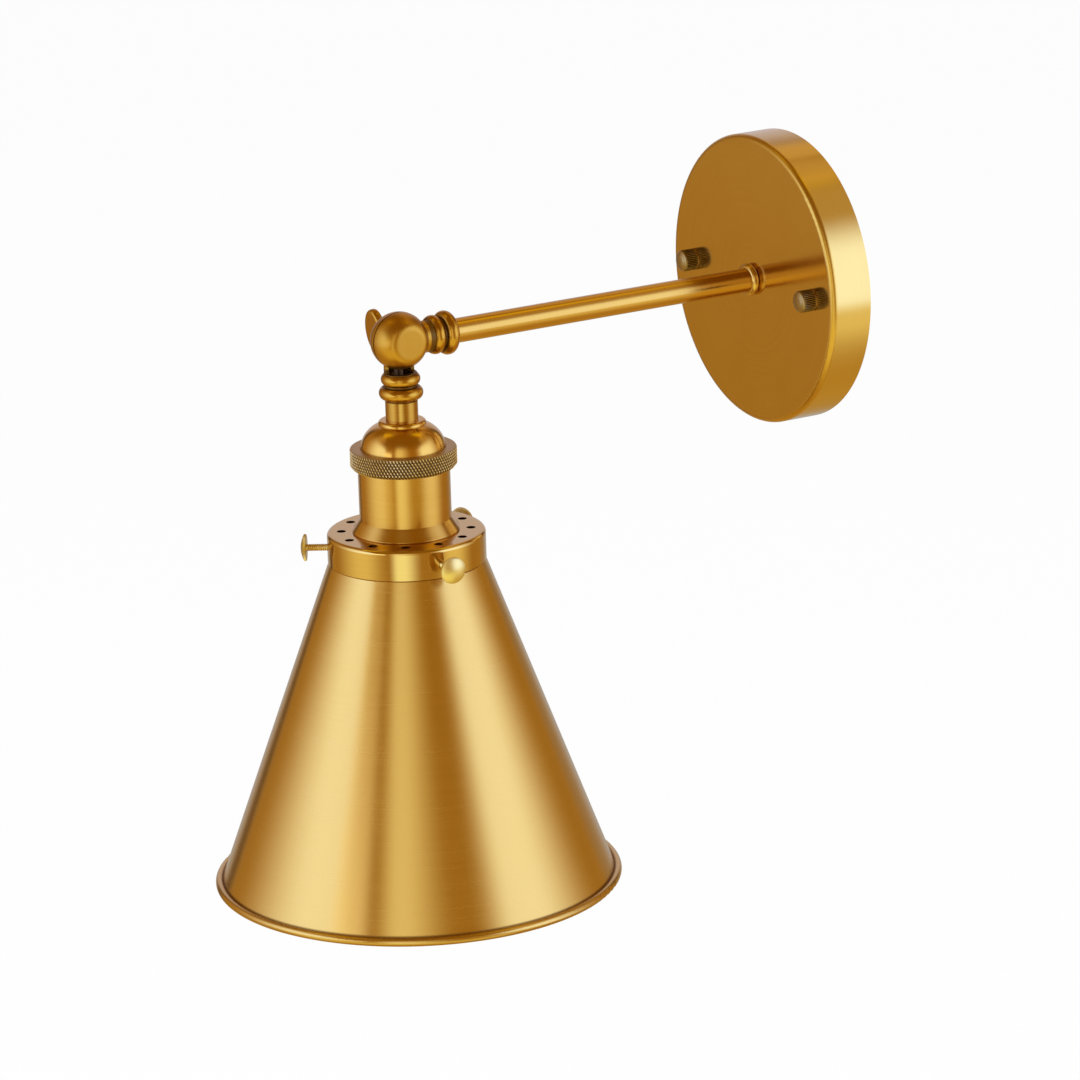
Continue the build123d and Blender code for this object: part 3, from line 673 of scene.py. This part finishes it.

# Cone shade: neck, shoulder, cone and rolled rim spun from one sheet of brass, brushed round and lacquered.
# The fitter holds it by its neck. Painted shade darkens the underside of its rolled rim and the groove above
# it.
shade_brass = satin_brass("shade_brass", head_axis, rough=0.26, grain=0.8, pale=-0.06)
groove_radius = 0.0799
groove_height = -0.22305
roll_inside = 0.0805
roll_middle = -0.2237
across = shade_brass.radius - groove_radius
down = shade_brass.along - groove_height
# Painted shade: the groove between the cone and the rolled rim is darkened, as shade falls in a crease.
groove_shade = 1 - shade_brass.step((across * across + down * down) ** 0.5, 0.0004, 0.0013)
on_roll = shade_brass.step(shade_brass.radius, roll_inside, roll_inside + 0.0006)
# Painted shade: the lower half of the rolled rim is darkened.
roll_underside_shade = on_roll * (1 - shade_brass.step(shade_brass.along, roll_middle - 0.0009, roll_middle))
colour_with_roll_shade = shade_brass.blend(roll_underside_shade * 0.4, shade_brass.colour, (0.30, 0.15, 0.02, 1))
shade_brass.set({
    "Base Color": shade_brass.blend(groove_shade * 0.6, colour_with_roll_shade, (0.16, 0.05, 0.0, 1)),
    "Roughness": shade_brass.roughness + groove_shade * 0.2,
    "Coat Weight": lacquer - groove_shade * 0.3,
})
dress(shade_brass, "cone_shade")

# Thumb screws: three round-headed screws through the fitter's wall hold the shade by its neck. Bright turned
# brass, with a 0.8 mm thread, a domed face and a milled edge.
bright_brass = satin_brass("bright_brass", head_axis, rough=0.36, pale=1.1, normal_of=None)
screw_low, screw_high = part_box("shade_screw_1")
screw_axis = Vector(joints["shade_screw_1_out"]["axis"])
head_radius = (screw_high.z - screw_low.z) / 2
axis_height = (screw_high.z + screw_low.z) / 2
shank_radius = 0.0015
shank_tip = (screw_low.x + shank_radius * abs(screw_axis.y)) / screw_axis.x
head_face = screw_high.x / screw_axis.x
head_thickness = 0.0024
head_back = head_face - head_thickness
back_ease = 0.0002
milled_width = 0.0010
milled_end = head_back + milled_width
mill_flutes = 70
shank_pitch = 0.0008
shank_end = head_back + back_ease
shank_rows = int((head_back - shank_tip) / shank_pitch * points_a_ridge)
face_steps = 10
crown = head_face - milled_end
face = [
    (head_radius * (1 - step / face_steps), milled_end + crown * (1 - (1 - step / face_steps) ** 2))
    for step in range(1, face_steps + 1)
]
for number in (1, 2, 3):
    name = "thumb_screw_%d" % number
    node = "shade_screw_%d" % number
    shank = lathe(name + "_shank", [
        (0, shank_tip), (shank_radius - bevel, shank_tip),
        *even_steps((shank_radius, shank_tip + bevel), (shank_radius, shank_end), shank_rows), (0, shank_end),
    ], thread_sides)
    roll(shank, bright_brass, {
        "Ridges": 1.0, "Lean": 1 / shank_pitch, "Depth": 0.0003, "From": shank_tip, "To": head_back - bevel,
    })
    head = lathe(name, [
        (0, head_back), (head_radius - 2 * back_ease, head_back),
        (head_radius - back_ease, head_back + back_ease / 4),
        *even_steps((head_radius, head_back + back_ease), (head_radius, milled_end), 4), *face,
    ], mill_flutes * points_a_flute)
    roll(head, bright_brass, {
        "Ridges": float(mill_flutes), "Depth": 0.00025, "Flat Top": 1.2, "Least Radius": head_radius - 0.0007,
        "From": head_back, "To": milled_end + 0.0002, "Fade": 0.0002,
    })
    outward = Vector(joints[node + "_out"]["axis"])
    turned = outward.to_track_quat("Z", "Y").to_matrix().to_4x4()
    place = Matrix.Translation((pivot.x, pivot.y, axis_height)) @ turned
    set_in_place(shank, place)
    set_in_place(head, place)
    both = bmesh.new()
    both.from_mesh(head.data)
    both.from_mesh(shank.data)
    both.to_mesh(head.data)
    both.free()
    bpy.data.objects.remove(shank)
    stand_in(head, node, node)

# Studio: a pale floor under a white surround, two soft lamps, and a round wall of warm card that only the
# brass mirrors, with three lit panels. Angles are in degrees round the head, from the camera's side towards
# the right.
camera_place = Vector((1.85643, -1.21276, 0.54152))
camera_back = Vector((0.82718, -0.48548, 0.28298))
camera_up = Vector((-0.22868, 0.16918, 0.95869))
camera_right = Vector((0.51330, 0.85772, -0.02892))
camera_angle = radians(-30.4)
floor_height = -0.55
floor_reach = 20.0
wall_distance = 1.25
wall_height = 1.9
lamp_distance = wall_distance * 1.1


class Stage(Nodes):
    """A material of the studio, which ends in any shader."""

    def __init__(self, name):
        self.material = bpy.data.materials.new(name)
        self.material.use_nodes = True
        super().__init__(self.material.node_tree)
        self.tree.nodes.clear()

    def finish(self, shader):
        end = self.tree.nodes.new("ShaderNodeOutputMaterial")
        self.tree.links.new(shader.socket, end.inputs["Surface"])
        return self.material


def mirrored_wall():
    """Warm card for the wall, the ceiling and the floor, with three lit panels that fade out at their sides.
    They are warm near the floor, cool and bright at the lamp's height, and narrow and amber above. Paler
    patches face the ball, the rim and the plate's edge, and the card behind the lamp is duller."""
    stage = Stage("mirrored_wall")
    place = stage.node("ShaderNodeTexCoord", output="Object")
    spot = {"Vector": place, "Location": tuple(pivot), "Rotation": (0, 0, camera_angle)}
    x, y, z = stage.split(stage.node("ShaderNodeMapping", {"vector_type": "TEXTURE"}, spot))
    angle = stage.math("ARCTAN2", y, x) * (180 / pi)
    radius = (x * x + y * y) ** 0.5
    off_floor = stage.step(z, -0.535, -0.525)
    middle = stage.step(z, -0.42, -0.20)
    above = stage.step(z, 0.38, 1.1)
    overhead = stage.step(z, 1.7, 1.85)
    at_ball = stage.band(z, (-0.28, -0.12), (0.1, 0.31))
    reach = stage.math("MAXIMUM", off_floor, stage.step(radius, 0.35, 1.2))
    lit_ceiling = stage.math("MAXIMUM", 1 - overhead, stage.step(radius, 0.3, 0.9))
    dark_amber = (0.33, 0.165, 0.012, 1)
    amber = (1.20, 1.10, 0.60, 1)
    colour = stage.blend(above, (0.50, 0.285, 0.055, 1), dark_amber)
    colour = stage.blend(reach, (0.66, 0.42, 0.08, 1), colour)

    # A panel's colours and the angles of its edges: near the floor, at the lamp's height, above and overhead
    side_panel = [(1.10, 1.00, 0.48, 1), (1.50, 1.82, 2.36, 1), (0.66, 0.47, 0.17, 1), (1.17, 0.87, 0.04, 1)]
    front_panel = [(1.40, 1.60, 1.30, 1), (1.24, 1.27, 1.00, 1), dark_amber, dark_amber]
    left_edges = [
        (-124, -134, -125, -138), (-68, -66, -98, -116), (-64, -54, -88, -106), (-22, -41, -62, -84),
    ]
    front_edges = [(-26, -27, -27, -27), (-11, -13, -13, -13), (-4, -9, -9, -9), (24, 23, 23, 23)]
    right_edges = [(38, 31, 58, 84), (70, 56, 80, 106), (76, 72, 98, 116), (112, 126, 125, 138)]
    wider_at_ball = 14
    for edges, (low, lit, high, top), wider in [
        (left_edges, side_panel, wider_at_ball), (front_edges, front_panel, 0), (right_edges, side_panel, 0),
    ]:
        first, full, fading, last = [
            a + (b - a) * middle + (c - b) * above + (d - c) * overhead for a, b, c, d in edges
        ]
        if wider:
            fading = fading + at_ball * wider
            last = last + at_ball * wider
        panel = stage.band(angle, (first, full), (fading, last)) * reach * lit_ceiling
        core = stage.blend(middle, low, stage.blend(panel, amber, lit))
        colour = stage.blend(panel, colour, stage.blend(above, core, stage.blend(overhead, high, top)))

    for_ball = at_ball * stage.band(angle, (-54, -44), (-34, -26))
    colour = stage.blend(for_ball, colour, (1.85, 1.95, 1.70, 1))
    front_floor = stage.band(angle, (-85, -60), (45, 65)) * (1 - off_floor) * stage.step(radius, 0.2, 0.4)
    colour = stage.blend(front_floor, colour, (1.22, 1.14, 0.42, 1))
    near_plate = stage.step(angle, 144, 151) * stage.step(z, 0.7, 1.0)
    right_top = stage.step(angle, 100, 125) * stage.step(z, 1.2, 1.6)
    for_plate = stage.math("MAXIMUM", right_top, near_plate) * (1 - stage.step(z, 1.78, 1.88))
    colour = stage.blend(for_plate, colour, (0.80, 0.54, 0.18, 1))

    beside = stage.math("ABSOLUTE", angle)
    upper = stage.step(z, -0.25, 0.05)
    far_low = stage.blend(stage.step(beside, 144, 164), (0.44, 0.30, 0.15, 1), (0.50, 0.47, 0.44, 1))
    far_low = stage.blend(stage.band(angle, (-151, -145), (-140, -135)), far_low, (0.17, 0.10, 0.04, 1))
    far_high = stage.blend(stage.step(beside, 148, 158), (0.16, 0.10, 0.04, 1), (0.66, 0.58, 0.61, 1))
    behind_lamp = stage.step(beside - upper * 4, 132, 140) * reach * (1 - above)
    colour = stage.blend(behind_lamp, colour, stage.blend(upper, far_low, far_high))
    return stage.finish(stage.node("ShaderNodeEmission", {}, {"Color": colour}))


def stage_sheet(name, vertices, faces, material):
    mesh = bpy.data.meshes.new(name)
    mesh.from_pydata(vertices, [], faces)
    mesh.materials.append(material)
    sheet = bpy.data.objects.new(name, mesh)
    bpy.context.collection.objects.link(sheet)
    return sheet


def level_sheet(name, reach, height, material):
    corners = [(-1, -1), (1, -1), (1, 1), (-1, 1)]
    vertices = [(pivot.x + reach * x, pivot.y + reach * y, height) for x, y in corners]
    return stage_sheet(name, vertices, [(0, 1, 2, 3)], material)


wall_sides = 96
wall_points = []
for step in range(wall_sides):
    angle = 2 * pi * step / wall_sides
    x, y = pivot.x + wall_distance * cos(angle), pivot.y + wall_distance * sin(angle)
    wall_points += [(x, y, floor_height), (x, y, wall_height)]
wall_faces = [
    tuple((2 * step + corner) % (2 * wall_sides) for corner in (0, 2, 3, 1)) for step in range(wall_sides)
]
wall_card = mirrored_wall()
floor_gap = 0.01
cards = [
    stage_sheet("mirrored_wall", wall_points, wall_faces, wall_card),
    level_sheet("card_above", wall_distance, wall_height, wall_card),
    level_sheet("card_below", wall_distance, floor_height + floor_gap, wall_card),
]
for card in cards:
    card.visible_camera = False
    card.visible_shadow = False
    card.visible_diffuse = False


def softbox(name, angle, low, high, width, radiance):
    """A soft lamp just outside the round wall, which the brass doesn't mirror."""
    light = bpy.data.lights.new(name, "AREA")
    light.shape = "RECTANGLE"
    light.size = width
    light.size_y = high - low
    light.energy = radiance * pi * width * (high - low)
    lamp = bpy.data.objects.new(name, light)
    bpy.context.collection.objects.link(lamp)
    turned = camera_angle + radians(angle)
    outward = Vector((cos(turned), sin(turned), 0))
    lamp.location = Vector((pivot.x, pivot.y, (low + high) / 2)) + outward * lamp_distance
    lamp.rotation_euler = outward.to_track_quat("Z", "Y").to_euler()
    lamp.visible_camera = False
    lamp.visible_glossy = False


softbox("softbox_left", angle=-75, low=-0.52, high=1.0, width=1.3, radiance=2.0)
softbox("softbox_right", angle=69, low=-0.52, high=1.0, width=0.9, radiance=2.1)


def in_view(shading):
    """1 for rays from the camera, a mirror or glass, and 0 for light on its way to a surface."""
    path = shading.node("ShaderNodeLightPath").output
    return shading.limit(path("Is Camera Ray") + path("Is Glossy Ray") + path("Is Transmission Ray"))


def pale_floor():
    """Pale paper that stays white to the camera and in the brass, and still takes a faint shadow."""
    stage = Stage("pale_floor")
    grain = stage.node("ShaderNodeTexNoise", {}, {"Scale": 30.0})
    colour = stage.blend(grain, (0.86, 0.86, 0.86, 1), (0.88, 0.88, 0.88, 1))
    paper = stage.node("ShaderNodeBsdfDiffuse", {}, {"Color": colour})
    glow = stage.node("ShaderNodeEmission", {}, {"Strength": 1.0})
    lit = stage.node("ShaderNodeMixShader", {}, {0: in_view(stage) * 0.9, 1: paper, 2: glow})
    below = stage.node("ShaderNodeNewGeometry").output("Backfacing")
    clear = stage.node("ShaderNodeBsdfTransparent")
    return stage.finish(stage.node("ShaderNodeMixShader", {}, {0: below, 1: lit, 2: clear}))


level_sheet("floor", floor_reach, floor_height, pale_floor())

world = bpy.data.worlds.new("white_surround")
bpy.context.scene.world = world
world.use_nodes = True
surround = Nodes(world.node_tree)
background = world.node_tree.nodes["Background"]
surround.feed(background, "Color", (1, 1, 1, 1))
surround.feed(background, "Strength", 0.9 + in_view(surround) * 0.1)

camera = bpy.data.objects.new("camera", bpy.data.cameras.new("camera"))
bpy.context.collection.objects.link(camera)
camera.data.sensor_width = 36.0
camera.data.lens = 183.66
camera.data.clip_end = 100.0
axes = Matrix((camera_right, camera_up, camera_back)).transposed()
camera.matrix_world = Matrix.Translation(camera_place) @ axes.to_4x4()
bpy.context.scene.camera = camera
bpy.context.scene.view_settings.view_transform = "Standard"
